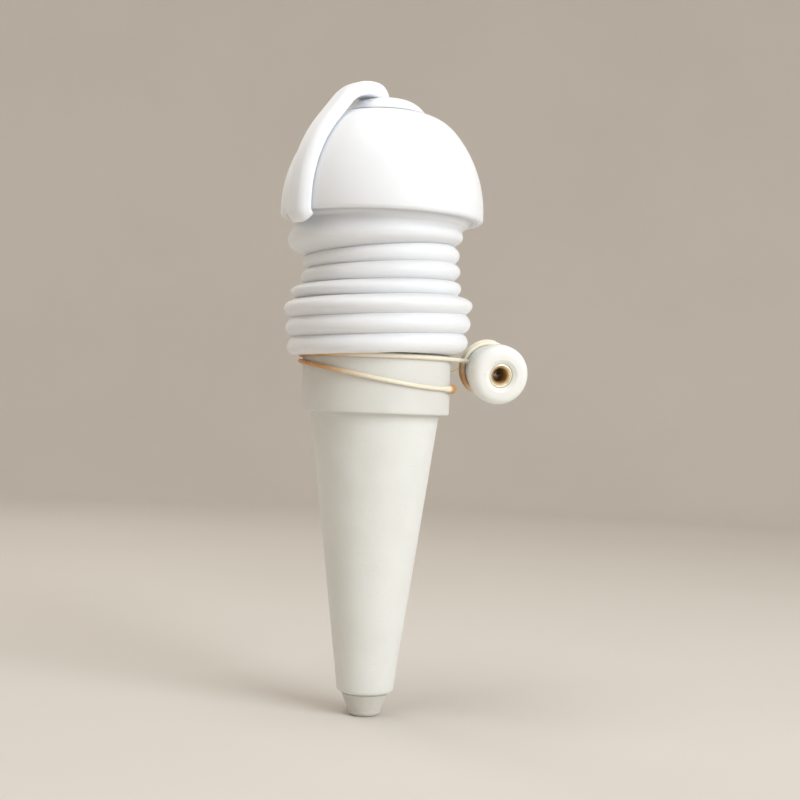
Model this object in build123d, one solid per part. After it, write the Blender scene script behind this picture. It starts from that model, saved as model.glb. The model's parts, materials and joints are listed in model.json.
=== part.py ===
from build123d import *

import os
from math import atan2, cos, degrees, pi, radians, sin, sqrt, tan

# Self watering spike, upright: +Z up along the spike, origin on its axis at the collar's underside,
# which rests on the soil. All sizes are in millimetres and all angles in degrees.

# Clearances
bond_gap = 0.1            # glued or pressed pieces that never move
slip_gap = 0.2            # sleeves that slide on a spigot
face_gap = 0.1            # flat faces of pieces that part from each other
band_gap = 0.1            # stretched band over the piece that it grips

# Porous cone
cone_length = 77.8        # below the collar
cone_top_radius = 17.9
cone_end_radius = 7.8
cone_wall = 3.0
cone_floor = 6.0
cone_lip = 1.3
cone_seat_depth = 11.0    # straight head inside the collar

# Tip that closes the cone
tip_length = 6.5
tip_shoulder_radius = 6.5
tip_end_radius = 4.7
tip_round = 1.5
tip_spigot_radius = 3.6
tip_spigot_length = 5.0

# Collar with the neck that carries the reservoir
collar_wall = 2.7
collar_height = 16.5
collar_round = 0.6
gasket_thickness = 1.2
neck_radius = 12.0
neck_wall = 2.6
neck_length = 9.5

# Bellows: height of each rib and its reach beyond the cap's spigot, from the lowest to the highest
bellows_ribs = [(5.1, 6.6), (5.3, 7.2), (5.3, 7.7), (4.1, 5.2), (4.6, 3.8), (4.5, 3.4), (7.1, 5.8)]
fold_depth = 1.7          # ridge to fold, measured from the narrower of two ribs
bellows_wall = 1.3
shoulder_rise = 0.22      # share of a rib's height below its shoulder
shoulder_reach = 0.7      # share of a fold's depth that the shoulder stands out
cuff_wall = 1.6
cuff_length = 8.0

# Cap: ring, seal and hollow dome
dome_overhang = 3.9       # rim beyond the top rib's ridge
dome_height = 29.6
dome_wall = 1.7
dome_rim_height = 2.0     # upright edge below the curve
dome_rim_round = 1.0
dome_fullness = 1.85      # how much longer the side's curve runs than the crown's
crown_flat_radius = 8.9
ring_thickness = 2.0
ring_spigot_radius = 18.6
ring_spigot_wall = 1.8
ring_spigot_length = 7.0
seal_thickness = 1.1
seal_width = 3.2

# Filler plug in the crown
plug_head_radius = 10.9
plug_head_height = 3.9
plug_edge_height = 0.6
plug_flat_radius = 4.2
plug_stem_radius = 5.0
plug_stem_length = 7.5
boss_wall = 1.8
boss_length = 5.5

# Strap that ties the plug to the rim
strap_azimuth = 222.0     # about +Z from +X, so the strap lies on the left, half to the front
strap_width = 7.0
strap_thickness = 3.0
strap_edge = 0.7
strap_foot_radius = 1.2   # inside of the hook under the rim
strap_foot_turn = 60.0
strap_rise = 1.9          # middle of the strap over the plug's top, along the top of its arch
strap_arch_radius = 10.0
strap_end_radius = 3.2
strap_end_offset = 2.1    # middle of the strap's end from the plug's axis

# Retaining band: two turns round the collar, one and a half round the bead
band_thickness = 1.3
band_drop = 0.9           # middle of the upper strand below the collar's top
band_low = 7.4            # middle of the lower strand at the right, its lowest place
band_off = 8.8            # middle of the lower strand where it leaves the collar at the back
strand_gap = 0.6          # between the two turns where they lie side by side
bead_turn_gap = 0.7       # between the turns on the bead
band_slant = 0.4          # lean of the band where it comes onto and leaves the bead
strand_lead = 11.0        # straight run from the bead to the collar
strand_touch = -25.0      # azimuth where that run meets the collar
strand_fall = -205.0      # azimuth where the first turn starts down
strand_low = -375.0       # azimuth of the lowest place
strand_left = -540.0      # azimuth where the second turn lies next to the first
strand_off = -645.0       # azimuth where the second turn leaves for the bead
bead_on = -90.0           # where the band comes onto the bead, its underside
bead_off = -675.0         # where the band leaves the bead, its upper side
band_split = 0.5          # slit in the loop, under the bead

# Bead, on its own axis: 0 at the band's middle, positive towards the open end of the bush
bead_radius = 8.3
bead_seat_radius = 6.8
bead_front = 13.0
bead_rear = 3.4
bead_seat_length = 4.2    # ahead of the band's middle
bead_flare = 2.2
bead_front_round = 2.6
bead_rear_chamfer = 0.6
bead_dish_radius = 4.6
bead_dish_depth = 0.7
bead_yaw = -74.0          # about +Z from +X
bead_droop = 10.0
bead_advance = 1.2        # band's middle ahead of the place nearest the spike's axis
bead_below_top = 2.8      # band's middle below the collar's top
bead_spacing = 2.4        # between the strands on the collar and on the bead
bead_rib_gap = 0.35       # between the band on the bead and the lowest rib

# Brass bush in the bead
bush_bore_radius = 2.1
bush_wall = 0.7
bush_flange_width = 0.5
bush_flange_thickness = 0.8

# Places that follow from the sizes
socket_radius = cone_top_radius + bond_gap
collar_radius = socket_radius + collar_wall
web_bottom = cone_seat_depth + gasket_thickness
neck_top = collar_height + neck_length
neck_bore_radius = neck_radius - neck_wall
bellows_base = collar_height + face_gap
bellows_top = bellows_base + sum(height for height, reach in bellows_ribs)
rib_ridges = [ring_spigot_radius + reach for height, reach in bellows_ribs]
cap_base = bellows_top + face_gap + seal_thickness
crown_top = cap_base + dome_height
dome_rim_radius = rib_ridges[-1] + dome_overhang
dome_bore_radius = dome_rim_radius - dome_wall
plug_hole_radius = plug_stem_radius + slip_gap
plug_seat = crown_top + face_gap
plug_top = plug_seat + plug_head_height
strand_radius = collar_radius + band_gap + band_thickness / 2
loop_radius = bead_seat_radius + band_gap + band_thickness / 2
strand_step = band_thickness + strand_gap
bead_turn_step = band_thickness + bead_turn_gap
bead_height = collar_height - bead_below_top
upper_strand = collar_height - band_drop


def turned(edges):
    """Solid of revolution about Z from the edges of its half section, given as radius and height."""
    return revolve(Plane.XZ * make_face(edges), Axis.Z)


def turned_outline(points):
    """Solid of revolution about Z from a half section with straight sides."""
    return turned(Polyline(*points, close=True))


def tube(outer, inner, low, high):
    """Plain ring about Z."""
    return turned_outline([(inner, low), (outer, low), (outer, high), (inner, high)])


def edges_at(solid, radius, height):
    """Round edges of a turned solid at a radius and a height."""
    spot = 1e-3
    return [
        edge
        for edge in solid.edges().filter_by(GeomType.CIRCLE)
        if abs(edge.radius - radius) < spot and abs(edge.arc_center.Z - height) < spot
    ]


def make_spike_cone():
    """Hollow porous cone with a straight head, a rounded lip and an open floor for the tip."""
    slope = (cone_top_radius - cone_end_radius) / cone_length
    floor_top = cone_floor - cone_length
    floor_radius = cone_end_radius + slope * cone_floor - cone_wall
    bore_radius = cone_top_radius - cone_wall
    hole_radius = tip_spigot_radius + bond_gap
    cone = turned_outline(
        [
            (hole_radius, -cone_length),
            (cone_end_radius, -cone_length),
            (cone_top_radius, 0),
            (cone_top_radius, cone_seat_depth),
            (bore_radius, cone_seat_depth),
            (bore_radius, 0),
            (floor_radius, floor_top),
            (hole_radius, floor_top),
        ]
    )
    return fillet(edges_at(cone, cone_end_radius, -cone_length), cone_lip)


def make_spike_tip():
    """Blunt tip with a spigot that closes the cone's floor."""
    shoulder = -cone_length
    end = shoulder - tip_length
    tip = turned_outline(
        [
            (0, end),
            (tip_end_radius, end),
            (tip_shoulder_radius, shoulder),
            (tip_spigot_radius, shoulder),
            (tip_spigot_radius, shoulder + tip_spigot_length),
            (0, shoulder + tip_spigot_length),
        ]
    )
    return fillet(edges_at(tip, tip_end_radius, end), tip_round)


def make_collar():
    """Collar with a socket for the cone's head below and a neck for the reservoir above."""
    collar = turned_outline(
        [
            (socket_radius, 0),
            (collar_radius, 0),
            (collar_radius, collar_height),
            (neck_radius, collar_height),
            (neck_radius, neck_top),
            (neck_bore_radius, neck_top),
            (neck_bore_radius, web_bottom),
            (socket_radius, web_bottom),
        ]
    )
    rounded = edges_at(collar, collar_radius, 0) + edges_at(collar, collar_radius, collar_height)
    return fillet(rounded, collar_round)


def make_cone_gasket():
    """Flat washer between the cone's head and the collar."""
    return tube(cone_top_radius, cone_top_radius - cone_wall, cone_seat_depth, web_bottom)


def fold_radii():
    """Radius of the fold under each rib, and of the one above the last."""
    inner = [min(pair) - fold_depth for pair in zip(rib_ridges, rib_ridges[1:])]
    return [rib_ridges[0] - fold_depth] + inner + [rib_ridges[-1] - fold_depth]


def stacked(circles):
    """Ruled solid through circles about Z, each given as radius and height."""
    return loft([Pos(0, 0, height) * Circle(radius) for radius, height in circles], ruled=True)


def rib_circles():
    """Circles up the outside of the bellows: fold, shoulder, ridge and shoulder of each rib."""
    folds = fold_radii()
    circles = []
    low = bellows_base
    for (height, reach), ridge, fold, next_fold in zip(bellows_ribs, rib_ridges, folds, folds[1:]):
        circles.append((fold, low))
        circles.append((fold + shoulder_reach * (ridge - fold), low + shoulder_rise * height))
        circles.append((ridge, low + height / 2))
        circles.append((next_fold + shoulder_reach * (ridge - next_fold), low + (1 - shoulder_rise) * height))
        low += height
    return circles + [(folds[-1], bellows_top)]


def make_bellows():
    """Soft ribbed reservoir, with a cuff on the collar's neck and an open top for the cap's ring."""
    outside = rib_circles()
    inside = [(radius - bellows_wall, height) for radius, height in outside[::2]]
    inside[0] = (inside[0][0], bellows_base + bellows_wall)
    inside[-1] = (inside[-1][0], bellows_top - bellows_wall)
    sleeve_radius = neck_radius + slip_gap
    mouth_radius = ring_spigot_radius + slip_gap
    cuff = tube(sleeve_radius + cuff_wall, sleeve_radius, bellows_base, bellows_base + cuff_length)
    plate = tube(inside[0][0], sleeve_radius, bellows_base, bellows_base + bellows_wall)
    shell = stacked(outside) - stacked(inside)
    shell -= Pos(0, 0, bellows_base) * Cylinder(sleeve_radius, 2 * bellows_wall)
    shell -= Pos(0, 0, bellows_top) * Cylinder(mouth_radius, 2 * bellows_wall)
    return shell + plate + cuff


def make_cap_ring():
    """Ring that closes the dome's underside and plugs into the bellows."""
    flange_radius = dome_bore_radius - bond_gap
    bore_radius = ring_spigot_radius - ring_spigot_wall
    return turned_outline(
        [
            (bore_radius, cap_base - ring_spigot_length),
            (ring_spigot_radius, cap_base - ring_spigot_length),
            (ring_spigot_radius, cap_base),
            (flange_radius, cap_base),
            (flange_radius, cap_base + ring_thickness),
            (bore_radius, cap_base + ring_thickness),
        ]
    )


def make_cap_seal():
    """Flat seal between the bellows' top and the cap's ring."""
    inner = ring_spigot_radius + slip_gap
    return tube(inner + seal_width, inner, cap_base - seal_thickness, cap_base)


def dome_curve():
    """Two tangent arcs from the upright rim to the flat crown: their radii and their meeting angle."""
    across = dome_rim_radius - crown_flat_radius
    up = dome_height - dome_rim_height
    sweep_sum = across + dome_fullness * up
    root = sqrt(sweep_sum**2 + 2 * dome_fullness * (across**2 + up**2))
    crown_run = (root - sweep_sum) / (2 * dome_fullness)
    side_run = dome_fullness * crown_run
    meeting = atan2(across - crown_run, up - side_run)
    side_radius = side_run / tan(meeting / 2)
    crown_radius = crown_run / tan((pi / 2 - meeting) / 2)
    return side_radius, crown_radius, degrees(meeting)


side_radius, crown_radius, meeting_angle = dome_curve()
side_middle = (dome_rim_radius - side_radius, cap_base + dome_rim_height)
crown_middle = (crown_flat_radius, crown_top - crown_radius)


def on_circle(middle, radius, angle):
    """Point on a circle in the half section, with the angle counted up from the outward radius."""
    return (middle[0] + radius * cos(radians(angle)), middle[1] + radius * sin(radians(angle)))


def make_dome_cap():
    """Hollow dome with a flat crown, and a bored boss under the crown for the plug."""
    join = on_circle(side_middle, side_radius, meeting_angle)
    side_mid = on_circle(side_middle, side_radius, meeting_angle / 2)
    crown_mid = on_circle(crown_middle, crown_radius, (meeting_angle + 90) / 2)
    boss_bottom = crown_top - boss_length
    boss_radius = plug_hole_radius + boss_wall
    rim_start = (dome_rim_radius, cap_base + dome_rim_height)
    inner_radius = side_radius - dome_wall
    inner_side = [on_circle(side_middle, inner_radius, meeting_angle * share) for share in (0, 0.5, 1)]
    inner_crown = on_circle(crown_middle, crown_radius - dome_wall, (meeting_angle + 90) / 2)
    ceiling = crown_top - dome_wall
    edges = [
        Line((dome_bore_radius, cap_base), (dome_rim_radius, cap_base)),
        Line((dome_rim_radius, cap_base), rim_start),
        ThreePointArc(rim_start, side_mid, join),
        ThreePointArc(join, crown_mid, (crown_flat_radius, crown_top)),
        Line((crown_flat_radius, crown_top), (plug_hole_radius, crown_top)),
        Polyline(
            (plug_hole_radius, crown_top),
            (plug_hole_radius, boss_bottom),
            (boss_radius, boss_bottom),
            (boss_radius, ceiling),
            (crown_flat_radius, ceiling),
            inner_crown,
            inner_side[2],
            inner_side[1],
            inner_side[0],
            (dome_bore_radius, cap_base),
        ),
    ]
    dome = turned(edges)
    return fillet(edges_at(dome, dome_rim_radius, cap_base), dome_rim_round)


def make_filler_plug():
    """Button-headed plug whose stem closes the filler hole."""
    edge_top = plug_seat + plug_edge_height
    stem_end = plug_seat - plug_stem_length
    edges = [
        Polyline(
            (0, plug_top),
            (0, stem_end),
            (plug_stem_radius, stem_end),
            (plug_stem_radius, plug_seat),
            (plug_head_radius, plug_seat),
            (plug_head_radius, edge_top),
        ),
        TangentArc((plug_flat_radius, plug_top), (plug_head_radius, edge_top), tangent=(1, 0)),
        Line((plug_flat_radius, plug_top), (0, plug_top)),
    ]
    return turned(edges)


def make_tether_strap():
    """Strap hooked under the rim, lying on the dome's side and arched over onto the plug's top."""
    half = strap_thickness / 2
    lie_radius = side_radius + bond_gap + half
    foot_middle = (dome_rim_radius + bond_gap - strap_foot_radius, cap_base)
    foot_radius = strap_foot_radius + half
    foot_start = on_circle(foot_middle, foot_radius, -strap_foot_turn)
    foot_mid = on_circle(foot_middle, foot_radius, -strap_foot_turn / 2)
    foot_top = on_circle(foot_middle, foot_radius, 0)
    lie_start = on_circle(side_middle, lie_radius, 0)
    lie_mid = on_circle(side_middle, lie_radius, meeting_angle / 2)
    lie_end = on_circle(side_middle, lie_radius, meeting_angle)
    arch_top = plug_top + strap_rise
    arch_corner = (lie_end[0] - (arch_top - lie_end[1]) * tan(radians(meeting_angle)), arch_top)
    end_corner = (strap_end_offset, arch_top)
    strap_end = (strap_end_offset, plug_seat + plug_edge_height)
    path = [
        ThreePointArc(foot_start, foot_mid, foot_top),
        Line(foot_top, lie_start),
        ThreePointArc(lie_start, lie_mid, lie_end),
        FilletPolyline(
            lie_end, arch_corner, end_corner, strap_end, radius=[strap_arch_radius, strap_end_radius]
        ),
    ]
    turn = radians(strap_azimuth)
    outward = Vector(cos(turn), sin(turn), 0)
    across = Vector(sin(turn), -cos(turn), 0)
    upright = Plane((0, 0, 0), x_dir=outward, z_dir=across)
    route = upright * Wire([edge for run in path for edge in run.edges()])
    section_plane = Plane(route @ 0, x_dir=across, z_dir=route % 0)
    section = section_plane * chamfer(Rectangle(strap_width, strap_thickness).vertices(), strap_edge)
    return sweep(section, route) - Pos(0, 0, bond_gap) * make_filler_plug()


def bead_frame():
    """Bead's axis, its level direction towards the spike, its upper direction and its middle."""
    yaw = radians(bead_yaw)
    droop = radians(bead_droop)
    axis = Vector(cos(droop) * cos(yaw), cos(droop) * sin(yaw), -sin(droop))
    inward = Vector(sin(yaw), -cos(yaw), 0)
    upward = inward.cross(axis)
    loop_reach = loop_radius + band_thickness / 2 + bead_rib_gap
    shoulder_radius, shoulder_height = rib_circles()[1]
    shoulder_over = shoulder_height - bead_height
    rib_offset = shoulder_radius + sqrt(max(0, loop_reach**2 - shoulder_over**2))
    strand_offset = strand_radius + loop_radius + bead_spacing
    ahead = Vector(cos(yaw), sin(yaw), 0)
    middle = inward * -max(rib_offset, strand_offset) + ahead * bead_advance + Vector(0, 0, bead_height)
    return axis, inward, upward, middle


bead_axis, bead_inward, bead_upward, bead_middle = bead_frame()
bead_plane = Plane(bead_middle, x_dir=bead_inward, z_dir=bead_axis)
bush_radius = bush_bore_radius + bush_wall
bush_flange_radius = bush_radius + bush_flange_width
dish_floor = bead_front - bead_dish_depth
bush_seat = dish_floor - bush_flange_thickness


def make_bead():
    """Barrel bead with a narrow rear seat for the band, a rounded front and a dish round its bush."""
    hole_radius = bush_radius + bond_gap
    pocket_radius = bush_flange_radius + bond_gap
    flare_end = bead_seat_length + bead_flare
    face_radius = bead_radius - bead_front_round
    round_middle = (face_radius, bead_front - bead_front_round)
    edges = [
        Polyline(
            (face_radius, bead_front),
            (bead_dish_radius, bead_front),
            (pocket_radius, dish_floor),
            (pocket_radius, bush_seat),
            (hole_radius, bush_seat),
            (hole_radius, -bead_rear),
            (bead_seat_radius - bead_rear_chamfer, -bead_rear),
            (bead_seat_radius, bead_rear_chamfer - bead_rear),
            (bead_seat_radius, bead_seat_length),
            (bead_radius, flare_end),
            (bead_radius, round_middle[1]),
        ),
        ThreePointArc(
            (bead_radius, round_middle[1]),
            on_circle(round_middle, bead_front_round, 45),
            (face_radius, bead_front),
        ),
    ]
    return bead_plane * turned(edges)


def make_brass_bush():
    """Flanged brass bush through the bead."""
    return bead_plane * turned_outline(
        [
            (bush_bore_radius, -bead_rear),
            (bush_radius, -bead_rear),
            (bush_radius, bush_seat),
            (bush_flange_radius, bush_seat),
            (bush_flange_radius, dish_floor),
            (bush_bore_radius, dish_floor),
        ]
    )


def collar_stop(azimuth, height, slope):
    """Place and direction of the band's middle on the collar, running clockwise seen from above."""
    turn = radians(azimuth)
    place = Vector(strand_radius * cos(turn), strand_radius * sin(turn), height)
    return place, Vector(sin(turn), -cos(turn), slope).normalized()


def bead_stop(turn, advance, slant):
    """Place and direction of the band's middle on the bead, with the turn counted from the spike's side."""
    angle = radians(turn)
    spoke = bead_inward * cos(angle) + bead_upward * sin(angle)
    ahead = bead_inward * sin(angle) - bead_upward * cos(angle) + bead_axis * slant
    return bead_middle + spoke * loop_radius + bead_axis * advance, ahead.normalized()


def bead_stops():
    """Stops on the bead: under it, one and a half turns round it by quarters, and off its upper side."""
    slant = bead_turn_step / (2 * pi * loop_radius)
    stops = [bead_stop(bead_on, bead_turn_step * -0.75 - band_thickness, band_slant)]
    for quarter in range(-2, 4):
        stops.append(bead_stop(-360 - 90 * quarter, bead_turn_step * quarter / 4, slant))
    stops.append(bead_stop(bead_off, bead_turn_step * 0.75 + band_thickness, band_slant))
    return stops


def ramp(start_azimuth, end_azimuth, start_height, end_height):
    """Middle and end of a stretch round the collar that is level at both ends and steepest halfway."""
    run = strand_radius * radians(start_azimuth - end_azimuth)
    steepest = 1.5 * (end_height - start_height) / run
    middle = collar_stop((start_azimuth + end_azimuth) / 2, (start_height + end_height) / 2, steepest)
    return [middle, collar_stop(end_azimuth, end_height, 0)]


def collar_stops():
    """Stops on the collar: one level turn that falls at the back, and a second that climbs at the front."""
    second_strand = upper_strand - strand_step
    touch, ahead = collar_stop(strand_touch, upper_strand, 0)
    stops = [(touch - ahead * strand_lead, ahead), (touch, ahead)]
    stops += ramp(strand_touch, strand_fall, upper_strand, upper_strand)
    stops += ramp(strand_fall, strand_low, upper_strand, band_low)
    stops += ramp(strand_low, strand_left, band_low, second_strand)
    return stops + ramp(strand_left, strand_off, second_strand, band_off)


def band_stops():
    """Whole route of the band, from the slit under the bead round to the slit again."""
    stops = bead_stops() + collar_stops()
    first, ahead = stops[0]
    return stops + [(first - ahead * band_split, ahead)]


def arc_or_line(start, end, direction):
    """Arc that leaves its start in a direction, or a straight edge where it has no bend."""
    if (end - start).normalized().cross(direction).length < 1e-6:
        return Line(start, end)
    return TangentArc(start, end, tangent=direction)


def biarcs(stops):
    """Two tangent arcs from each stop of a route to the next."""
    edges = []
    for (start, leaving), (end, arriving) in zip(stops, stops[1:]):
        chord = end - start
        both = chord.dot(leaving + arriving)
        bend = 2 * (1 - leaving.dot(arriving))
        if bend < 1e-9:
            reach = chord.dot(chord) / (4 * chord.dot(arriving))
        else:
            reach = (sqrt(both**2 + bend * chord.dot(chord)) - both) / bend
        first_corner = start + leaving * reach
        last_corner = end - arriving * reach
        meeting = (first_corner + last_corner) * 0.5
        passing = (last_corner - first_corner).normalized()
        edges.append(arc_or_line(start, meeting, leaving))
        edges.append(arc_or_line(meeting, end, passing))
    return edges


def least_gap(route):
    """Smallest clear distance of the band to itself, between places well apart along it."""
    steps = 400
    apart = 6 * band_thickness
    spots = [route @ (step / steps) for step in range(steps + 1)]
    stride = route.length / steps
    return min(
        (far - near).length
        for index, near in enumerate(spots)
        for other, far in enumerate(spots)
        if (other - index) * stride > apart and (index + steps - other) * stride > apart
    ) - band_thickness


def make_retaining_band():
    """Elastic band wound round the collar and the bead, slit where the bead hides it."""
    route = Wire(biarcs(band_stops()))
    section = Plane(route @ 0, z_dir=route % 0) * RegularPolygon(band_thickness / 2, 6)
    band = sweep(section, route)
    print("band: length", round(route.length, 1), "least gap to itself", round(least_gap(route), 2))
    print("band: volume", round(band.volume, 1), "from its length", round(section.area * route.length, 1))
    return band


pieces = {
    "spike_cone": make_spike_cone,
    "spike_tip": make_spike_tip,
    "collar": make_collar,
    "cone_gasket": make_cone_gasket,
    "bellows": make_bellows,
    "cap_ring": make_cap_ring,
    "cap_seal": make_cap_seal,
    "dome_cap": make_dome_cap,
    "filler_plug": make_filler_plug,
    "tether_strap": make_tether_strap,
    "bead": make_bead,
    "brass_bush": make_brass_bush,
    "retaining_band": make_retaining_band,
}

os.makedirs("parts", exist_ok=True)
for name, make in pieces.items():
    export_step(make(), f"parts/{name}.step")
print("bead: middle", bead_middle, "axis", bead_axis)
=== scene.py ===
"""Self watering spike: finished surfaces, soft pieces and studio, modelled around the spike's frame."""

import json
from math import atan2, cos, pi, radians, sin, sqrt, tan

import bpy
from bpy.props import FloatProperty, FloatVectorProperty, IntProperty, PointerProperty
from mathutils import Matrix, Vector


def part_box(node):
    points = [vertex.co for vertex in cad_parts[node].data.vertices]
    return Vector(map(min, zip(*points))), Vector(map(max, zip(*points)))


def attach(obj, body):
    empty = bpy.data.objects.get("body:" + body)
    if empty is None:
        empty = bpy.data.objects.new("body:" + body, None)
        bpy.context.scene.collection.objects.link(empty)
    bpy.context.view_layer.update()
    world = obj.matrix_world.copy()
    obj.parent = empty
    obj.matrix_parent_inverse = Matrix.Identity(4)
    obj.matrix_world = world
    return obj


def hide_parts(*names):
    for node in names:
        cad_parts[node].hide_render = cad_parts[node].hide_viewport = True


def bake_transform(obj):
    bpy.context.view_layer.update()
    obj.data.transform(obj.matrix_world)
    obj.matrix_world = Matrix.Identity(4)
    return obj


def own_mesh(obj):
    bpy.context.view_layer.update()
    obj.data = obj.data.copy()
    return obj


bl_info = {
    "name": "Self Watering Spike",
    "version": (1, 0, 0),
    "blender": (4, 5, 0),
    "location": "3D View > Sidebar > Spike",
    "description": "Models the visible pieces of a self watering spike, their finishes and a small studio",
    "category": "Object",
}

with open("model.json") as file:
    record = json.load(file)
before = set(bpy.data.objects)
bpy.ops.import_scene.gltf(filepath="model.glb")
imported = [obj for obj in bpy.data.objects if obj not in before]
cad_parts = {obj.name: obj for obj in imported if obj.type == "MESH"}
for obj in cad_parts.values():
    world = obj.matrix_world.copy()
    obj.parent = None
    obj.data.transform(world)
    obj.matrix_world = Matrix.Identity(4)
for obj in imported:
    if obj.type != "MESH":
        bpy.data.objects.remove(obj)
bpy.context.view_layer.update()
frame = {"nodes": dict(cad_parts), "record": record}

# Sizes are in metres, in the spike's frame: +Z up, origin on the axis at the collar's underside.
MM = 0.001

# Clearances
bond_gap = 0.1 * MM
slip_gap = 0.2 * MM
face_gap = 0.1 * MM
band_gap = 0.1 * MM
lip_gap = 0.03 * MM

# Mesh: distance at which points merge, longest step along an outline, and angle from which an edge is sharp
merge_distance = 0.001 * MM
usual_step = 1.5 * MM
usual_crease = radians(38)
soft_crease = radians(60)

# Places taken from the frame
cone_low, cone_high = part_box("spike_cone")
tip_low, tip_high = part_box("spike_tip")
collar_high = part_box("collar")[1]
bellows_low, bellows_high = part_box("bellows")
dome_low, dome_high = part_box("dome_cap")
plug_low, plug_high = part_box("filler_plug")
tube_bore = next(mount for mount in frame["record"]["mounts"] if mount["name"] == "tube_bore")

# Porous cone and its tip
cone_top_radius = cone_high.x
cone_end_radius = 7.8 * MM
cone_wall = 3 * MM
cone_floor = 6 * MM
cone_lip = 1.3 * MM
cone_shoulder_round = 2 * MM
cone_head_round = 0.4 * MM
cone_step = 1.2 * MM
cone_wave = 6 * MM
tip_shoulder_radius = tip_high.x
tip_end_radius = 4.7 * MM
tip_round = 1.5 * MM
tip_chamfer = 0.4 * MM
tip_spigot_radius = 3.6 * MM
tip_ring_pitch = 0.62 * MM
tip_ring_depth = 0.05 * MM
tip_ring_rows = 4

# Ceramics: pores to the metre, their depth and the roughness
ceramics = {
    "porous_cone": (1500, 0.05 * MM, 0.8),
    "bare_tip": (1500, 0.08 * MM, 0.85),
    "satin_bead": (900, 0.02 * MM, 0.5),
}

# Collar and the neck above it
collar_radius = collar_high.x
collar_height = bellows_low.z - face_gap
collar_round = 0.6 * MM
collar_socket_radius = cone_top_radius + bond_gap
collar_web = 12.2 * MM
neck_radius = 12 * MM
neck_bore_radius = 9.4 * MM
neck_round = 0.5 * MM
collar_wave = 9 * MM
collar_unevenness = 0.05 * MM

# Bellows: height, ridge radius and sideways slip of each rib in millimetres, from the lowest to the highest
ribs = [
    (5.1, 25.2, 0.0),
    (5.3, 25.8, 0.0),
    (5.3, 26.3, 0.0),
    (4.1, 23.8, -1.1),
    (4.6, 22.2, 0.3),
    (4.1, 21.8, 0.4),
    (7.5, 24.4, -1.8),
]
rib_edges = [bellows_low.z]
for height, ridge, slip in ribs:
    rib_edges.append(rib_edges[-1] + height * MM)
rib_fold_depth = 1.5 * MM
rib_roundness = 1.25
top_fold_depth = 0.5 * MM
top_fold_lean = radians(4)
lip_top = dome_low.z - lip_gap
lip_cove = 1.8 * MM
lip_inner_radius = 23.55 * MM
lip_depth = 3 * MM
bellows_wall = 1.3 * MM
cuff_wall = 1.6 * MM
cuff_length = 8 * MM
base_ring_width = 4 * MM
bellows_wave = 14 * MM
bellows_unevenness = 0.22 * MM

# Lattice that leans the ribs, and where its pull begins and ends
cage_span = 60 * MM
cage_levels = 25
hold_radius = collar_radius + 0.2 * MM
free_radius = hold_radius + 2.2 * MM
free_height = 3 * MM
top_fade = 2.5 * MM
sway_reach = 6 * MM

# Dome and the plug in its crown
dome_rim_radius = dome_high.x
cap_base = dome_low.z
crown_top = dome_high.z
dome_wall = 1.7 * MM
dome_rim_height = 2 * MM
dome_rim_round = 1.0 * MM
dome_fullness = 1.85
crown_flat_radius = 8.9 * MM
dome_crease = radians(30)
plug_hole_radius = 5.2 * MM
plug_hole_chamfer = 0.3 * MM
boss_wall = 1.8 * MM
boss_length = 5.5 * MM
plug_top = plug_high.z
plug_head_radius = plug_high.x
plug_seat = crown_top + face_gap
plug_edge_height = 0.6 * MM
plug_flat_radius = 4.2 * MM
plug_stem_radius = 5 * MM
plug_stem_chamfer = 1 * MM
plug_lip_swell = 0.15 * MM
plug_lip_height = 0.2 * MM
plug_skirt_width = 0.6 * MM
plug_skirt_sink = 0.02 * MM

# Strap
strap_azimuth = radians(222)
strap_width = 5.8 * MM
strap_thickness = 3 * MM
strap_foot_radius = 1.2 * MM
strap_foot_turn = radians(60)
strap_rise = 2.6 * MM
strap_arch_radius = 13 * MM
strap_end_radius = 3.2 * MM
strap_end_offset = 2.1 * MM
strap_edge = 1.45 * MM
strap_base_growth = 1.75
strap_arch_growth = 1.6
strap_end_growth = 1.15
strap_crease = radians(40)

# Band: its heights on the collar, its gaps and slopes, and the angles at which it turns, touches and leaves
band_low = 7.4 * MM
band_off = 8.8 * MM
band_drop = 0.9 * MM
strand_gap = 0.6 * MM
bead_turn_gap = 0.7 * MM
band_slant = 0.4
band_run_on = 0.75
ease_peak = 1.5
band_curve_steps = 24
band_rim_steps = 3
knot_swell = 1.3
knot_reach = 8 * MM
strand_lead = 11 * MM
strand_touch = radians(-25)
strand_fall = radians(-205)
strand_knot = radians(-368)
knot_place = Vector((collar_radius * cos(strand_knot), collar_radius * sin(strand_knot), band_low))
strand_low = radians(-392)
strand_left = radians(-540)
strand_off = radians(-645)
bead_on = radians(-90)
bead_off = radians(-675)

# Where the band is deep amber: at the left as painted shade, near the knot and near its bend behind the
# collar, from the full tone to none
painted_shade_left = (-20 * MM, 2 * MM)
amber_knot = (3.2 * MM, 5.5 * MM)
amber_bend = (4 * MM, 8 * MM)
bend_place = (23 * MM, 9 * MM, 11 * MM)

# Bead and its bush
bead_radius = 8.3 * MM
bead_seat_radius = 6.8 * MM
bead_front = 13 * MM
bead_rear = 3.4 * MM
bead_seat_length = 4.2 * MM
bead_flare = 2.2 * MM
bead_front_round = 2.6 * MM
bead_seat_round = 1.2 * MM
bead_rear_round = 0.6 * MM
bead_pocket_round = 0.15 * MM
bead_dish_round = 0.5 * MM
bead_shoulder = 0.35 * MM
bead_shoulder_height = 0.2 * MM
bead_swell = 0.05 * MM
groove_back = 4.6 * MM
groove_half_width = 0.4 * MM
groove_round = 0.2 * MM
bead_step = 1.0 * MM
bead_wave = 6 * MM
bead_unevenness = 0.08 * MM
bead_dish_radius = 4.6 * MM
bead_dish_depth = 0.7 * MM
dish_floor = bead_front - bead_dish_depth
bush_bore_radius = tube_bore["dims"]["r_mm"] * MM
bush_wall = 0.7 * MM
bush_flange_width = 0.5 * MM
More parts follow.
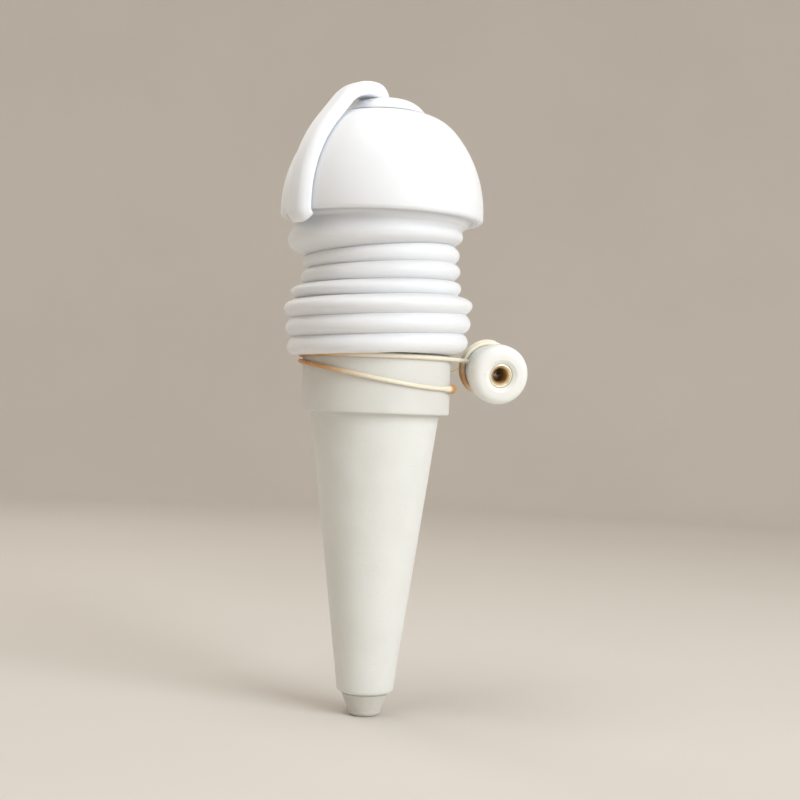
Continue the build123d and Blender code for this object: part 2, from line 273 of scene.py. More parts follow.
bush_flange_thickness = 0.8 * MM
bush_flange_round = 0.25 * MM
bush_lead = 0.8 * MM
bush_lead_depth = 1.2 * bush_lead
bush_lead_round = 0.1 * MM
bush_crease = radians(25)
bore_rim = (bush_bore_radius + 0.1 * MM, bush_bore_radius + 0.5 * MM)
# Depths over which the bore's wall is painted darker inwards, as painted shade
bore_shade = (dish_floor - 5 * MM, dish_floor - 1.5 * MM)

# Thread in the bush: its length, and its depth, crest and root as shares of the pitch
thread_length = 6 * MM
thread_depth = 0.28
thread_crest = 0.3
thread_root = 0.65

# Place of the bead, from the bore's mount
bore_middle = (dish_floor - bead_rear) / 2
bead_axis = Vector(tube_bore["axis"]).normalized()
bead_middle = Vector(tube_bore["pos_m"]) - bead_axis * bore_middle
bead_inward = Vector((0, 0, 1)).cross(bead_axis).normalized()
bead_upward = bead_inward.cross(bead_axis)
bead_columns = Matrix((-bead_inward, bead_upward, bead_axis)).transposed()
bead_place = Matrix.Translation(bead_middle) @ bead_columns.to_4x4()
bead_turn = bead_columns.to_euler()

# Studio: radius of the flat floor, radius of its upturn and height of its wall
floor_flat = 0.75
floor_upturn = 0.45
floor_wall = 0.5

# Lamps: place, size and colour of each, and the place at which they point
lamps = {
    "key_lamp": (Vector((0.68, -0.62, 0.46)), 0.6, (0.94, 0.975, 1.0)),
    "top_lamp": (Vector((-0.10, -0.12, 0.72)), 0.4, (0.97, 0.985, 1.0)),
    "back_lamp": (Vector((-0.4, 0.45, 0.4)), 0.3, (1.0, 0.97, 0.93)),
}
lamp_aim = Vector((0, 0, 0.01))
sky_colour = (1.0, 0.88, 0.72, 1)


def length_property(name, description, default):
    """Length that a user may change."""
    return FloatProperty(name=name, description=description, default=default, unit="LENGTH")


def angle_property(name, description, default):
    """Angle that a user may change."""
    return FloatProperty(name=name, description=description, default=default, subtype="ANGLE")


def power_property(name, description, default):
    """Power of a lamp that a user may change."""
    return FloatProperty(name=name, description=description, default=default, unit="POWER")


def colour_property(name, description, default):
    """Colour that a user may change."""
    return FloatVectorProperty(
        name=name, description=description, default=default, subtype="COLOR", min=0, max=1
    )


class SpikeShape(bpy.types.PropertyGroup):
    """Sizes of the modelled pieces that a user may change."""

    rib_lean: angle_property("Rib lean", "How far the soft ribs lean sideways", radians(4.2))
    rib_nod: angle_property("Rib nod", "How far the soft ribs lean to the front", radians(1.6))
    band_thickness: length_property("Band thickness", "Thickness of the rubber band", 1.2 * MM)
    cone_unevenness: length_property("Cone unevenness", "Depth of the waves in the fired cone", 0.16 * MM)
    bead_groove: length_property("Bead groove", "Depth of the ring groove round the bead", 0.22 * MM)
    thread_pitch: length_property("Thread pitch", "Pitch of the thread in the bush's bore", 0.6 * MM)
    around: IntProperty(
        name="Steps around", description="Number of faces round a turned piece", default=128, min=24
    )


class SpikeFinish(bpy.types.PropertyGroup):
    """Colours of the finishes that a user may change."""

    cap_white: colour_property("Cap white", "Plastic of the cap", (0.85, 0.88, 0.94))
    soft_white: colour_property("Soft white", "Plastic of the bellows, plug and strap", (0.85, 0.88, 0.94))
    # Fold shade: painted shade laid on the soft plastic down in the bellows' folds
    painted_fold_shade: colour_property("Fold shade", "Soft plastic down in its folds", (0.78, 0.78, 0.78))
    collar_cream: colour_property("Collar cream", "Matte plastic of the collar", (0.71, 0.715, 0.69))
    cone_cream: colour_property("Cone cream", "Porous ceramic of the cone", (0.77, 0.785, 0.765))
    cone_speck: colour_property("Cone specks", "Specks in the porous ceramic", (0.50, 0.45, 0.36))
    tip_cream: colour_property("Tip cream", "Bare ceramic of the tip", (0.64, 0.63, 0.60))
    bead_cream: colour_property("Bead cream", "Satin ceramic of the bead", (0.86, 0.87, 0.85))
    bush_brass: colour_property("Bush brass", "Turned brass of the bush's face", (1.0, 0.92, 0.70))
    bore_brown: colour_property("Bore brown", "Tarnished brass in the bush's bore", (0.50, 0.32, 0.13))
    # Band amber: the band's deep tone, also painted on its left side as shade
    band_amber: colour_property("Band amber", "Rubber of the band where it is deep", (0.58, 0.25, 0.035))
    band_cream: colour_property("Band cream", "Rubber of the band where it is pale", (0.87, 0.82, 0.68))
    seal_grey: colour_property("Seal grey", "Rubber of the hidden seals", (0.70, 0.69, 0.66))


class SpikeStudio(bpy.types.PropertyGroup):
    """Light, floor and camera that a user may change."""

    floor_colour: colour_property("Floor", "Colour of the floor and its upturned edge", (0.68, 0.65, 0.61))
    key_power: power_property("Key light", "Power of the main lamp", 7.6)
    top_power: power_property("Top light", "Power of the lamp overhead", 2.0)
    back_power: power_property("Back light", "Power of the lamp behind", 0.6)
    sky_level: FloatProperty(name="Sky", description="Strength of the even light all round", default=0.5)
    camera_away: length_property("Camera distance", "Distance of the camera from the axis", 392 * MM)
    camera_right: length_property("Camera sideways", "How far the camera stands to the right", 6.9 * MM)
    camera_height: length_property("Camera height", "Height over the collar's underside", 3.9 * MM)
    camera_roll: angle_property("Camera roll", "Turn of the camera about its view", radians(2.1))
    lens: FloatProperty(name="Lens", description="Focal length in millimetres", default=63.0)


# Outlines of turned pieces, as points of radius and height


def on_circle(middle, radius, angle):
    """Point on a circle in the half section, with the angle counted up from the outward radius."""
    return (middle[0] + radius * cos(angle), middle[1] + radius * sin(angle))


def arc(middle, radius, start, end, steps):
    """Points along an arc of the half section, both ends included."""
    return [on_circle(middle, radius, start + (end - start) * step / steps) for step in range(steps + 1)]


def rounded(corners, steps=6):
    """Outline through corners of radius, height and rounding, with an arc at each rounded corner."""
    points = []
    last = len(corners) - 1
    for index, (across, up, rounding) in enumerate(corners):
        corner = Vector((across, up))
        if not rounding or index in (0, last):
            points.append(corner)
            continue
        back = (Vector(corners[index - 1][:2]) - corner).normalized()
        ahead = (Vector(corners[index + 1][:2]) - corner).normalized()
        half = back.angle(ahead) / 2
        middle = corner + (back + ahead).normalized() * (rounding / sin(half))
        start = corner + back * (rounding / tan(half)) - middle
        end = corner + ahead * (rounding / tan(half)) - middle
        for step in range(steps + 1):
            points.append(middle + start.slerp(end, step / steps).normalized() * rounding)
    return [(point[0], point[1]) for point in points]


def divided(points, longest):
    """The same outline with its long runs cut into even steps."""
    out = [points[0]]
    for (across, up), (next_across, next_up) in zip(points, points[1:]):
        length = sqrt((next_across - across) ** 2 + (next_up - up) ** 2)
        cuts = max(1, round(length / longest))
        for cut in range(1, cuts + 1):
            share = cut / cuts
            out.append((across + (next_across - across) * share, up + (next_up - up) * share))
    return out


# Modelling steps


def select_only(piece):
    """One piece selected and active, in object mode."""
    if bpy.context.mode != "OBJECT":
        bpy.ops.object.mode_set(mode="OBJECT")
    bpy.ops.object.select_all(action="DESELECT")
    if piece:
        piece.select_set(True)
        bpy.context.view_layer.objects.active = piece


def named(piece, name):
    """Give a new object and its mesh their name."""
    piece.name = name
    piece.data.name = name
    return piece


def close_mesh():
    """Merge the doubles of the mesh in edit mode, turn its faces outwards and leave edit mode."""
    bpy.ops.mesh.select_all(action="SELECT")
    bpy.ops.mesh.remove_doubles(threshold=merge_distance)
    bpy.ops.mesh.normals_make_consistent(inside=False)
    bpy.ops.object.mode_set(mode="OBJECT")


def turn_outline(name, points, crease=usual_crease):
    """Piece turned about the upright axis: one vertex is drawn out along the outline, and the line spun."""
    select_only(None)
    bpy.ops.mesh.primitive_plane_add(size=MM, enter_editmode=True)
    bpy.ops.mesh.merge(type="CENTER")
    bpy.ops.transform.translate(value=(points[0][0], 0, points[0][1]))
    for (across, up), (next_across, next_up) in zip(points, points[1:]):
        step = (next_across - across, 0, next_up - up)
        bpy.ops.mesh.extrude_region_move(TRANSFORM_OT_translate={"value": step})
    bpy.ops.mesh.select_all(action="SELECT")
    around = bpy.context.scene.spike_shape.around
    bpy.ops.mesh.spin(steps=around, angle=2 * pi, center=(0, 0, 0), axis=(0, 0, 1))
    close_mesh()
    piece = named(bpy.context.object, name)
    bpy.ops.object.shade_smooth_by_angle(angle=crease)
    return piece


def apply_modifier(piece, kind, **settings):
    """Add a modifier with its settings to a piece and apply it."""
    select_only(piece)
    bpy.ops.object.modifier_add(type=kind)
    modifier = piece.modifiers[-1]
    for setting, value in settings.items():
        setattr(modifier, setting, value)
    bpy.ops.object.modifier_apply(modifier=modifier.name)


def make_uneven(piece, size, depth):
    """Soft waves of a size and a depth all over a piece."""
    waves = bpy.data.textures.new(piece.name + "_waves", "CLOUDS")
    waves.noise_scale = size
    apply_modifier(piece, "DISPLACE", texture=waves, strength=depth, texture_coords="LOCAL")


def stand_at(piece, place):
    """Move a piece that was modelled upright to its place, and leave its object at the origin."""
    select_only(piece)
    piece.matrix_world = place
    bpy.ops.object.transform_apply(location=True, rotation=True, scale=True)


def dress(piece, material):
    """Give a piece one material."""
    piece.data.materials.clear()
    piece.data.materials.append(material)


def finish_piece(piece, material, slot, body, *nodes):
    """Give a piece its material, and its body if it rides one, in place of the frame's own nodes. The slot is
    not used.
    """
    dress(piece, material)
    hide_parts(*nodes)
    if body:
        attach(piece, body)


# Materials


class Paint:
    """One node material, with short calls for the nodes that these finishes use."""

    def __init__(self, name):
        self.material = bpy.data.materials.new(name)
        self.material.use_nodes = True
        self.tree = self.material.node_tree
        self.shader = self.tree.nodes["Principled BSDF"]
        self.place = self.node("ShaderNodeTexCoord").outputs["Object"]

    def node(self, kind, inputs=(), **settings):
        """New node with its settings, and with values or links on its inputs."""
        made = self.tree.nodes.new(kind)
        for setting, value in settings.items():
            setattr(made, setting, value)
        for name, value in dict(inputs).items():
            self.feed(made.inputs[name], value)
        return made

    def feed(self, socket, value):
        """Link a socket, or set it to a value."""
        if isinstance(value, bpy.types.NodeSocket):
            self.tree.links.new(value, socket)
        else:
            socket.default_value = value

    def set(self, **sockets):
        """Feed sockets of the shader, named with underscores for spaces."""
        for name, value in sockets.items():
            self.feed(self.shader.inputs[name.replace("_", " ")], value)

    def cloud(self, scale, detail=3.0, place=None):
        """Soft noise, with about scale features to the metre."""
        inputs = {"Vector": place or self.place, "Scale": scale, "Detail": detail, "Roughness": 0.55}
        return self.node("ShaderNodeTexNoise", inputs).outputs["Fac"]

    def cells(self, scale):
        """Distance to the nearest of scattered points, with about scale points to the metre."""
        inputs = {"Vector": self.place, "Scale": scale}
        return self.node("ShaderNodeTexVoronoi", inputs).outputs["Distance"]

    def span(self, value, low, high, new_low, new_high):
        """Range of a value spread over a new range, clamped, with soft ends."""
        inputs = {"Value": value, "From Min": low, "From Max": high, "To Min": new_low, "To Max": new_high}
        return self.node("ShaderNodeMapRange", inputs, interpolation_type="SMOOTHSTEP").outputs["Result"]

    def math(self, kind, first, second):
        """Two values put together."""
        return self.node("ShaderNodeMath", {0: first, 1: second}, operation=kind).outputs[0]

    def blend(self, share, first, second):
        """Colour between two others."""
        inputs = {"Factor": share, "A": first, "B": second}
        return self.node("ShaderNodeMix", inputs, data_type="RGBA").outputs["Result"]

    def mottled(self, base, noise, low, high, tone, most=1):
        """Base colour that goes over to a tone, at most by a share, where a noise is high."""
        return self.blend(self.span(noise, low, high, 0, most), base, tone)

    def relief(self, height, depth, strength):
        """Fine relief on the surface, on top of the relief that is there already."""
        normal = self.shader.inputs["Normal"]
        inputs = {"Height": height, "Distance": depth, "Strength": strength}
        if normal.is_linked:
            inputs["Normal"] = normal.links[0].from_socket
        self.feed(normal, self.node("ShaderNodeBump", inputs).outputs["Normal"])

    def mapped(self, location, rotation):
        """Object coordinates centred and turned into a piece's own frame."""
        inputs = {"Vector": self.place, "Location": location, "Rotation": rotation}
        return self.node("ShaderNodeMapping", inputs, vector_type="TEXTURE").outputs["Vector"]

    def scaled(self, scale, place=None):
        """Coordinates stretched along their axes."""
        inputs = {"Vector": place or self.place, "Scale": scale}
        return self.node("ShaderNodeMapping", inputs).outputs["Vector"]

    def along(self, axis, place=None):
        """One of the coordinates."""
        return self.node("ShaderNodeSeparateXYZ", {"Vector": place or self.place}).outputs[axis]

    def apart(self, spot, place=None):
        """Distance of a place from a spot."""
        inputs = {0: place or self.place, 1: spot}
        return self.node("ShaderNodeVectorMath", inputs, operation="DISTANCE").outputs["Value"]


def opaque(colour, factor=1.0):
    """Colour with full alpha, lightened or darkened by a factor."""
    return (colour[0] * factor, colour[1] * factor, colour[2] * factor, 1.0)


# What the two white plastics share on their shaders
milky_plastic = {
    "Specular_IOR_Level": 0.35,
    "Subsurface_Weight": 0.5,
    "Subsurface_Radius": (1.0, 0.95, 0.9),
    "Subsurface_Scale": 2.5 * MM,
    "Sheen_Weight": 0.3,
    "Sheen_Roughness": 0.6,
    "IOR": 1.45,
}


def paint_cap_white(colour):
    """Milky moulded plastic, with a faint swirl of tint, fine handling marks and an eggshell relief."""
    paint = Paint("cap_white_gloss")
    swirl = paint.cloud(45, 2)
    marks = paint.cloud(420, 4)
    paint.set(
        Base_Color=paint.mottled(opaque(colour), swirl, 0.35, 0.65, opaque(colour, 0.98)),
        Roughness=paint.span(marks, 0.3, 0.75, 0.36, 0.48),
        **milky_plastic,
    )
    paint.relief(paint.cloud(900, 2), 0.01 * MM, 0.15)
    return paint.material


def paint_soft_white(colour, shade):
    """Soft translucent plastic, with painted shade down in its folds, a dull bloom and a fine grain."""
    paint = Paint("soft_white_plastic")
    fold = paint.node("ShaderNodeAttribute", attribute_name="fold").outputs["Fac"]
    bloom = paint.cloud(120, 4)
    base = paint.mottled(opaque(colour), bloom, 0.35, 0.7, opaque(colour, 0.975))
    # Painted shade: the colour goes over to the fold shade down in the folds
    paint.set(
        Base_Color=paint.blend(paint.math("MULTIPLY", fold, 0.5), base, opaque(shade)),
        Roughness=paint.span(bloom, 0.3, 0.7, 0.4, 0.52),
        **milky_plastic,
    )
    paint.relief(paint.cloud(1600, 3), 0.01 * MM, 0.2)
    return paint.material


def paint_collar_cream(colour):
    """Matte moulded plastic with a fine spark grain and faint stains."""
    paint = Paint("collar_cream_matte")
    stain = paint.cloud(90, 4)
    grain = paint.cloud(2600, 2)
    tone = paint.mottled(opaque(colour), stain, 0.38, 0.7, opaque(colour, 0.96))
    paint.set(
        Base_Color=paint.mottled(tone, grain, 0.55, 0.8, opaque(colour, 0.88), 0.25),
        Roughness=paint.span(grain, 0.3, 0.7, 0.5, 0.68),
        Subsurface_Weight=0.08,
        Subsurface_Radius=(1.0, 0.8, 0.6),
        Subsurface_Scale=1.0 * MM,
    )
    paint.relief(grain, 0.03 * MM, 0.5)
    return paint.material


def paint_ceramic(name, colour, speck):
    """Fired ceramic with uneven tone, a few specks, fine pores, a sandy grain and level forming lines."""
    pore_scale, pore_depth, roughness = ceramics[name]
    paint = Paint(name)
    tone = paint.cloud(70, 5)
    grain = paint.cloud(3000, 3)
    lines = paint.cloud(1400, 2, place=paint.scaled((0.05, 0.05, 1)))
    base = paint.mottled(opaque(colour), tone, 0.35, 0.68, opaque(colour, 0.96))
    base = paint.mottled(base, grain, 0.5, 0.8, opaque(colour, 0.86), 0.25)
    crowding = paint.span(paint.cloud(240), 0.35, 0.7, 0.1, 0)
    scattered = paint.math("SUBTRACT", paint.cells(pore_scale * 0.5), crowding)
    specks = paint.span(scattered, 0.0, 0.05, 1, 0)
    pores = paint.span(paint.cells(pore_scale), 0.08, 0.3, 0, 1)
    paint.set(
        Base_Color=paint.blend(paint.math("MULTIPLY", specks, 0.3), base, opaque(speck)),
        Roughness=roughness,
        Specular_IOR_Level=0.3,
        Subsurface_Weight=0.15,
        Subsurface_Radius=(1.0, 0.9, 0.75),
        Subsurface_Scale=1.5 * MM,
        IOR=1.4,
    )
    paint.relief(pores, pore_depth, 0.25)
    paint.relief(grain, pore_depth * 0.4, 0.4)
    paint.relief(lines, pore_depth * 1.5, 0.35)
    return paint.material


def paint_brass(colour, bore_colour):
    """Turned brass: a bright face with tool rings about the bead's axis, and a browner bore, painted darker
    deeper in as shade.
    """
    paint = Paint("turned_brass")
    turned = paint.mapped(bead_middle, bead_turn)
    reach = paint.apart((0, 0, 0), paint.scaled((1, 1, 0), turned))
    depth = paint.along("Z", turned)
    rings = paint.node(
        "ShaderNodeTexWave",
        {"Vector": turned, "Scale": 1600, "Distortion": 1.2, "Detail": 2},
        wave_type="RINGS",
        rings_direction="Z",
    ).outputs["Fac"]
    tarnish = paint.cloud(700, 4)
    face = paint.mottled(opaque(colour), tarnish, 0.45, 0.75, opaque(colour, 0.6), 0.4)
    # Painted shade: the bore's wall goes darker deeper in
    deep = paint.span(depth, *bore_shade, 1, 0)
    wall = paint.blend(deep, opaque(bore_colour), opaque(bore_colour, 0.8))
    inside = paint.span(reach, *bore_rim, 1, 0)
    paint.set(
        Base_Color=paint.blend(inside, face, wall),
        Roughness=paint.span(tarnish, 0.3, 0.7, 0.3, 0.45),
        Metallic=paint.span(inside, 0, 1, 0.9, 0.2),
    )
    paint.relief(rings, 0.015 * MM, 0.4)
    return paint.material


def paint_amber(colour, pale):
    """Pale rubber, deep amber at the knot and at its bend behind the collar, and painted deep amber at the
    left as shade.
    """
    paint = Paint("amber_rubber")
    dust = paint.cloud(500, 4)
    marks = paint.cloud(2200, 2)
    # Painted shade: the band goes deep amber towards its left side
    left_shade = paint.span(paint.along("X"), *painted_shade_left, 1, 0)
    knot = paint.span(paint.apart(knot_place), *amber_knot, 1, 0)
    bend = paint.span(paint.apart(bend_place), *amber_bend, 0.8, 0)
    deep = paint.math("MAXIMUM", left_shade, paint.math("MAXIMUM", knot, bend))
    tone = paint.blend(deep, opaque(pale), opaque(colour))
    paint.set(
        Base_Color=paint.mottled(tone, dust, 0.4, 0.72, opaque(pale), 0.25),
        Roughness=paint.span(marks, 0.3, 0.7, 0.34, 0.52),
        Subsurface_Weight=0.3,
        Subsurface_Radius=(1.0, 0.7, 0.4),
        Subsurface_Scale=0.8 * MM,
        IOR=1.5,
    )
    paint.relief(marks, 0.02 * MM, 0.3)
    return paint.material


def paint_seal(colour):
    """Dull rubber of the hidden seals, with a talc bloom."""
    paint = Paint("seal_rubber")
    talc = paint.cloud(800, 4)
    paint.set(
        Base_Color=paint.mottled(opaque(colour), talc, 0.35, 0.7, opaque(colour, 1.12)),
        Roughness=paint.span(talc, 0.3, 0.7, 0.6, 0.8),
    )
    paint.relief(talc, 0.04 * MM, 0.4)
    return paint.material


def paint_floor(colour):
    """Plain pale floor with a barely uneven tone."""
    paint = Paint("studio_floor")
    tone = paint.cloud(6, 3)
    paint.set(
        Base_Color=paint.mottled(opaque(colour), tone, 0.3, 0.7, opaque(colour, 0.975)),
        Roughness=0.8,
        Specular_IOR_Level=0.2,
    )
    return paint.material


# Shapes of the soft and turned pieces


def dome_curve():
    """Two tangent arcs from the upright rim to the flat crown: their radii and their meeting angle."""
    across = dome_rim_radius - crown_flat_radius
    up = crown_top - cap_base - dome_rim_height
    sweep_sum = across + dome_fullness * up
    root = sqrt(sweep_sum**2 + 2 * dome_fullness * (across**2 + up**2))
    crown_run = (root - sweep_sum) / (2 * dome_fullness)
    side_run = dome_fullness * crown_run
    meeting = atan2(across - crown_run, up - side_run)
    side_radius = side_run / tan(meeting / 2)
    crown_radius = crown_run / tan((pi / 2 - meeting) / 2)
    return side_radius, crown_radius, meeting


side_radius, crown_radius, meeting_angle = dome_curve()
side_middle = (dome_rim_radius - side_radius, cap_base + dome_rim_height)
crown_middle = (crown_flat_radius, crown_top - crown_radius)


def rib_outline(inset=0.0, steps=14):
    """Points up the outside of the ribs, or inside them by an inset: a round bulge from fold to fold."""
    ridges = [ridge * MM for height, ridge, slip in ribs]
    folds = [ridges[0]] + [min(pair) for pair in zip(ridges, ridges[1:])] + [ridges[-1]]
    folds = [fold - rib_fold_depth for fold in folds]
    folds[-1] = ridges[-1] - top_fold_depth
    bulge_start = radians(16)
    points = []
    for (height, ridge, slip), low, fold, next_fold in zip(ribs, rib_edges, folds, folds[1:]):
        for step in range(steps):
            angle = bulge_start + (pi - 2 * bulge_start) * step / steps
            share = (1 - cos(angle) / cos(bulge_start)) / 2
            swell = ((sin(angle) - sin(bulge_start)) / (1 - sin(bulge_start))) ** rib_roundness
            root = fold + (next_fold - fold) * share
            points.append((root + (ridge * MM - root) * swell - inset, low + height * MM * share))
    return points + [(folds[-1] - inset, bellows_high.z)]


def mark_folds(piece):
    """Store how deep in a fold each vertex of the bellows lies, from 0 on a ridge to 1 in a fold: the mask of
    the painted fold shade.
    """
    ridges = [ridge * MM for height, ridge, slip in ribs]
    folds = piece.data.attributes.new("fold", "FLOAT", "POINT")
    for vertex in piece.data.vertices:
        rib = sum(vertex.co.z > edge for edge in rib_edges[1:-1])
        depth = ridges[rib] - sqrt(vertex.co.x**2 + vertex.co.y**2)
        folds.data[vertex.index].value = min(1, max(0, depth / rib_fold_depth)) ** 2


def rib_slip(up):
    """Sideways slip at a height, eased from the middle of each rib to the middle of the next."""
    last_middle, last_slip = bellows_low.z, 0.0
    for (height, ridge, slip), low in zip(ribs, rib_edges):
        middle = low + height * MM / 2
        if up < middle:
            share = (up - last_middle) / (middle - last_middle)
            return (last_slip + (slip - last_slip) * share) * MM
        last_middle, last_slip = middle, slip
    return last_slip * MM


def lean_ribs(piece, lean, nod):
    """Lean the soft ribs and slip them sideways with a lattice, held at the collar and under the cap."""
    group = piece.vertex_groups.new(name="ribs")
    for vertex in piece.data.vertices:
        outside = (sqrt(vertex.co.x**2 + vertex.co.y**2) - hold_radius) / (free_radius - hold_radius)
        above = (vertex.co.z - bellows_low.z) / free_height
        share = min(1, max(0, outside, above))
        group.add([vertex.index], share * share * (3 - 2 * share), "REPLACE")
    select_only(None)
    height = bellows_high.z - bellows_low.z
    bpy.ops.object.add(type="LATTICE", location=(0, 0, bellows_low.z + height / 2))
    cage = bpy.context.object
    top_fold = height - ribs[-1][0] * MM
    cage.scale = (cage_span, cage_span, height)
    cage.data.points_u = cage.data.points_v = 2
    cage.data.points_w = cage_levels
    cage.data.interpolation_type_w = "KEY_LINEAR"
    for index, point in enumerate(cage.data.points):
        up = height * (index // 4) / (cage_levels - 1)
        fade = min(1, (height - up) / top_fade)
        sway = max(0, 1 - abs(up - top_fold) / sway_reach)
        drop = tan(lean + top_fold_lean * sway) * point.co.x + tan(nod * (1 - sway)) * point.co.y
        point.co_deform.z += fade * drop * cage_span / height
        point.co_deform.x += fade * rib_slip(bellows_low.z + up) / cage_span
    apply_modifier(piece, "LATTICE", object=cage, vertex_group="ribs")
    piece.vertex_groups.clear()
    bpy.data.objects.remove(cage)


def band_route(thickness):
    """Places and directions of the band's middle: round the bead, onto the collar and twice round that."""
    strand_radius = collar_radius + band_gap + thickness / 2
    loop_radius = bead_seat_radius + band_gap + thickness / 2
    turn_step = thickness + bead_turn_gap
    upper = collar_height - band_drop
    second = upper - thickness - strand_gap

    def on_bead(angle, advance, slant):
        spoke = bead_inward * cos(angle) + bead_upward * sin(angle)
        ahead = bead_inward * sin(angle) - bead_upward * cos(angle) + bead_axis * slant
        return bead_middle + spoke * loop_radius + bead_axis * advance, ahead.normalized()

    def on_collar(angle, height, slope):
        place = Vector((strand_radius * cos(angle), strand_radius * sin(angle), height))
        return place, Vector((sin(angle), -cos(angle), slope)).normalized()

    def ramp(start, end, start_height, end_height):
        steepest = ease_peak * (end_height - start_height) / (strand_radius * (start - end))
        middle = on_collar((start + end) / 2, (start_height + end_height) / 2, steepest)
        return [middle, on_collar(end, end_height, 0)]

    stops = [on_bead(bead_on, -band_run_on * turn_step - thickness, band_slant)]
    for quarter in range(-2, 4):
        advance = turn_step * quarter / 4
        stops.append(on_bead(-2 * pi - pi / 2 * quarter, advance, turn_step / (2 * pi * loop_radius)))
    stops.append(on_bead(bead_off, band_run_on * turn_step + thickness, band_slant))
    touch, ahead = on_collar(strand_touch, upper, 0)
    stops += [(touch - ahead * strand_lead, ahead), (touch, ahead)]
    stops += ramp(strand_touch, strand_fall, upper, upper)
    stops += ramp(strand_fall, strand_knot, upper, band_low)
    stops.append(on_collar(strand_low, band_low, 0))
    stops += ramp(strand_low, strand_left, band_low, second)
    return stops + ramp(strand_left, strand_off, second, band_off)


def lay_band(name, stops, thickness):
    """Closed curve through the stops, with handles as long as a round arc needs, made a mesh."""
    select_only(None)
    bpy.ops.curve.primitive_bezier_circle_add(enter_editmode=False)
    band = named(bpy.context.object, name)
    route = band.data.splines[0].bezier_points
    route.add(len(stops) - len(route))
    for index, (place, ahead) in enumerate(stops):
        point = route[index]
        point.handle_left_type = point.handle_right_type = "FREE"
        point.co = place
        reach = []
        for other_place, other_ahead in (stops[index - 1], stops[(index + 1) % len(stops)]):
            bend = ahead.angle(other_ahead)
            reach.append((other_place - place).length / (3 * cos(bend / 4) ** 2))
        point.handle_left = place - ahead * reach[0]
        point.handle_right = place + ahead * reach[1]
        point.radius = 1 + knot_swell * max(0, 1 - (place - knot_place).length / knot_reach)
    band.data.dimensions = "3D"
    band.data.resolution_u = band_curve_steps
    band.data.bevel_depth = thickness / 2
    band.data.bevel_resolution = band_rim_steps
    select_only(band)
    bpy.ops.object.convert(target="MESH")
    bpy.ops.object.mode_set(mode="EDIT")
    close_mesh()
    bpy.ops.object.shade_smooth()
    return bpy.context.object


# Operators


class SPIKE_OT_cone(bpy.types.Operator):
    """Porous cone and its blunt tip"""

    bl_idname = "spike.cone"
    bl_label = "Cone and Tip"

    def execute(self, context):
        finish = context.scene.spike_finish
        clay = paint_ceramic("porous_cone", finish.cone_cream, finish.cone_speck)
        slope = (cone_top_radius - cone_end_radius) / -cone_low.z
        floor_top = cone_low.z + cone_floor
        bore = cone_top_radius - cone_wall
        hole = tip_spigot_radius + bond_gap
        wall_low = cone_end_radius + slope * cone_floor - cone_wall
        outline = rounded([
            (hole, cone_low.z, 0),
            (cone_end_radius, cone_low.z, cone_lip),
            (cone_top_radius, 0, cone_shoulder_round),
            (cone_top_radius, cone_high.z, cone_head_round),
            (bore, cone_high.z, 0),
            (bore, 0, 0),
            (wall_low, floor_top, 0),
            (hole, floor_top, 0),
            (hole, cone_low.z, 0),
        ])
        cone = turn_outline("porous_cone", divided(outline, cone_step))
        make_uneven(cone, cone_wave, context.scene.spike_shape.cone_unevenness)
        finish_piece(cone, clay, "porous_ceramic", "spike", "spike_cone")

        shoulder = cone_low.z
        side_top = shoulder - tip_chamfer
        side_end = tip_low.z + tip_round
        face = [(tip_shoulder_radius - tip_chamfer, shoulder), (tip_shoulder_radius, side_top)]
        rows = int((side_top - side_end) / tip_ring_pitch * tip_ring_rows)
        for row in range(1, rows):
            share = row / rows
            ring = tip_ring_depth * (row % tip_ring_rows == tip_ring_rows // 2)
            across = tip_shoulder_radius + (tip_end_radius - tip_shoulder_radius) * share - ring
            face.append((across, side_top + (side_end - side_top) * share))
        nose = arc((tip_end_radius - tip_round, side_end), tip_round, 0, -pi / 2, 8)
        outline = [(0, tip_high.z), (tip_spigot_radius, tip_high.z), (tip_spigot_radius, shoulder)]
        outline += face + nose + [(0, tip_low.z)]
        tip = turn_outline("blunt_tip", divided(outline, usual_step))
        bare = paint_ceramic("bare_tip", finish.tip_cream, finish.cone_speck)
        finish_piece(tip, bare, "porous_ceramic", "spike", "spike_tip")
        return {"FINISHED"}


class SPIKE_OT_collar(bpy.types.Operator):
    """Cream collar with the neck that carries the reservoir"""

    bl_idname = "spike.collar"
    bl_label = "Collar"

    def execute(self, context):
        outline = rounded([
            (collar_socket_radius, 0, 0),
            (collar_radius, 0, collar_round),
            (collar_radius, collar_height, collar_round),
            (neck_radius, collar_height, 0),
            (neck_radius, collar_high.z, neck_round),
            (neck_bore_radius, collar_high.z, 0),
            (neck_bore_radius, collar_web, 0),
            (collar_socket_radius, collar_web, 0),
            (collar_socket_radius, 0, 0),
        ])
        collar = turn_outline("cream_collar", divided(outline, usual_step))
        make_uneven(collar, collar_wave, collar_unevenness)
        cream = paint_collar_cream(context.scene.spike_finish.collar_cream)
        finish_piece(collar, cream, "collar_plastic", "spike", "collar")
        return {"FINISHED"}


